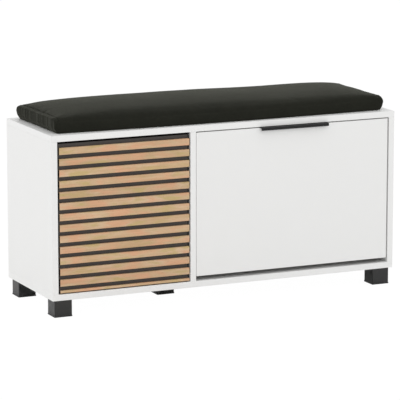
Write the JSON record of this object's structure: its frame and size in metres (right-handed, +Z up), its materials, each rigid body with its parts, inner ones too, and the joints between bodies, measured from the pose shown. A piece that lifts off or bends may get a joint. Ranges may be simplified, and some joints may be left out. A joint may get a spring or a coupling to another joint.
{
  "type": "entryway bench",
  "caption": "Low white storage bench with a slatted hinged door, a tilt-out shoe flap with an edge pull, square dark feet and a dark seat cushion.",
  "frame": {"origin": "centre of the bench's box, at floor level", "axes": "+X to the right along the front, -Y out of the front, +Z up"},
  "size_m": [0.98, 0.331, 0.5241],
  "materials": {
    "white_board": "white melamine-faced board, satin",
    "oak_slat": "light oak foil on moulded slats, matt",
    "dark_board": "black-faced board, matt",
    "thin_board": "painted hardboard",
    "foot_plastic": "moulded, finely textured",
    "black_metal": "black powder coat, satin",
    "steel": "nickel-plated",
    "rack_plastic": "moulded, light grey",
    "cushion_cloth": "dark charcoal woven cover"
  },
  "bodies": {
    "cabinet": {"back_panel": "thin_board", "bottom_panel": "white_board", "divider_panel": "white_board", "foot_front_left": "foot_plastic", "foot_front_right": "foot_plastic", "foot_middle": "foot_plastic", "foot_rear_left": "foot_plastic", "foot_rear_right": "foot_plastic", "hinge_arm_lower": "steel", "hinge_arm_upper": "steel", "hinge_plate_lower": "steel", "hinge_plate_upper": "steel", "magnet_catch": "rack_plastic", "pivot_bush_left": "rack_plastic", "pivot_bush_right": "rack_plastic", "seat_cushion": "cushion_cloth", "shelf": "white_board", "shelf_pin_front_left": "steel", "shelf_pin_front_right": "steel", "shelf_pin_rear_left": "steel", "shelf_pin_rear_right": "steel", "side_panel_left": "white_board", "side_panel_right": "white_board", "stop_peg_left": "steel", "stop_peg_right": "steel", "top_panel": "white_board"},
    "door": {"door_board": "dark_board", "slat_01": "oak_slat", "slat_02": "oak_slat", "slat_03": "oak_slat", "slat_04": "oak_slat", "slat_05": "oak_slat", "slat_06": "oak_slat", "slat_07": "oak_slat", "slat_08": "oak_slat", "slat_09": "oak_slat", "slat_10": "oak_slat", "slat_11": "oak_slat", "slat_12": "oak_slat", "slat_13": "oak_slat", "slat_14": "oak_slat", "hinge_cup_lower": "steel", "hinge_cup_upper": "steel", "strike_plate": "steel"},
    "flap": {"flap_panel": "white_board", "flap_handle": "black_metal", "handle_screw_left": "steel", "handle_screw_right": "steel", "rack_bracket_left": "rack_plastic", "rack_bracket_right": "rack_plastic", "rack_floor_lower": "thin_board", "rack_back_lower": "thin_board", "rack_floor_upper": "thin_board", "rack_back_upper": "thin_board", "tilt_pin_left": "steel", "tilt_pin_right": "steel"}
  },
  "joints": [
    {"name": "door_hinge", "type": "hinge", "parent": "cabinet", "child": "door", "pos_m": [-0.474, -0.1545, 0.2573], "axis": [0, 0, -1], "range_deg": [0, 100]},
    {"name": "flap_tilt", "type": "hinge", "parent": "cabinet", "child": "flap", "pos_m": [0.1907, -0.13, 0.1023], "axis": [1, 0, 0], "range_deg": [0, 40]}
  ]
}
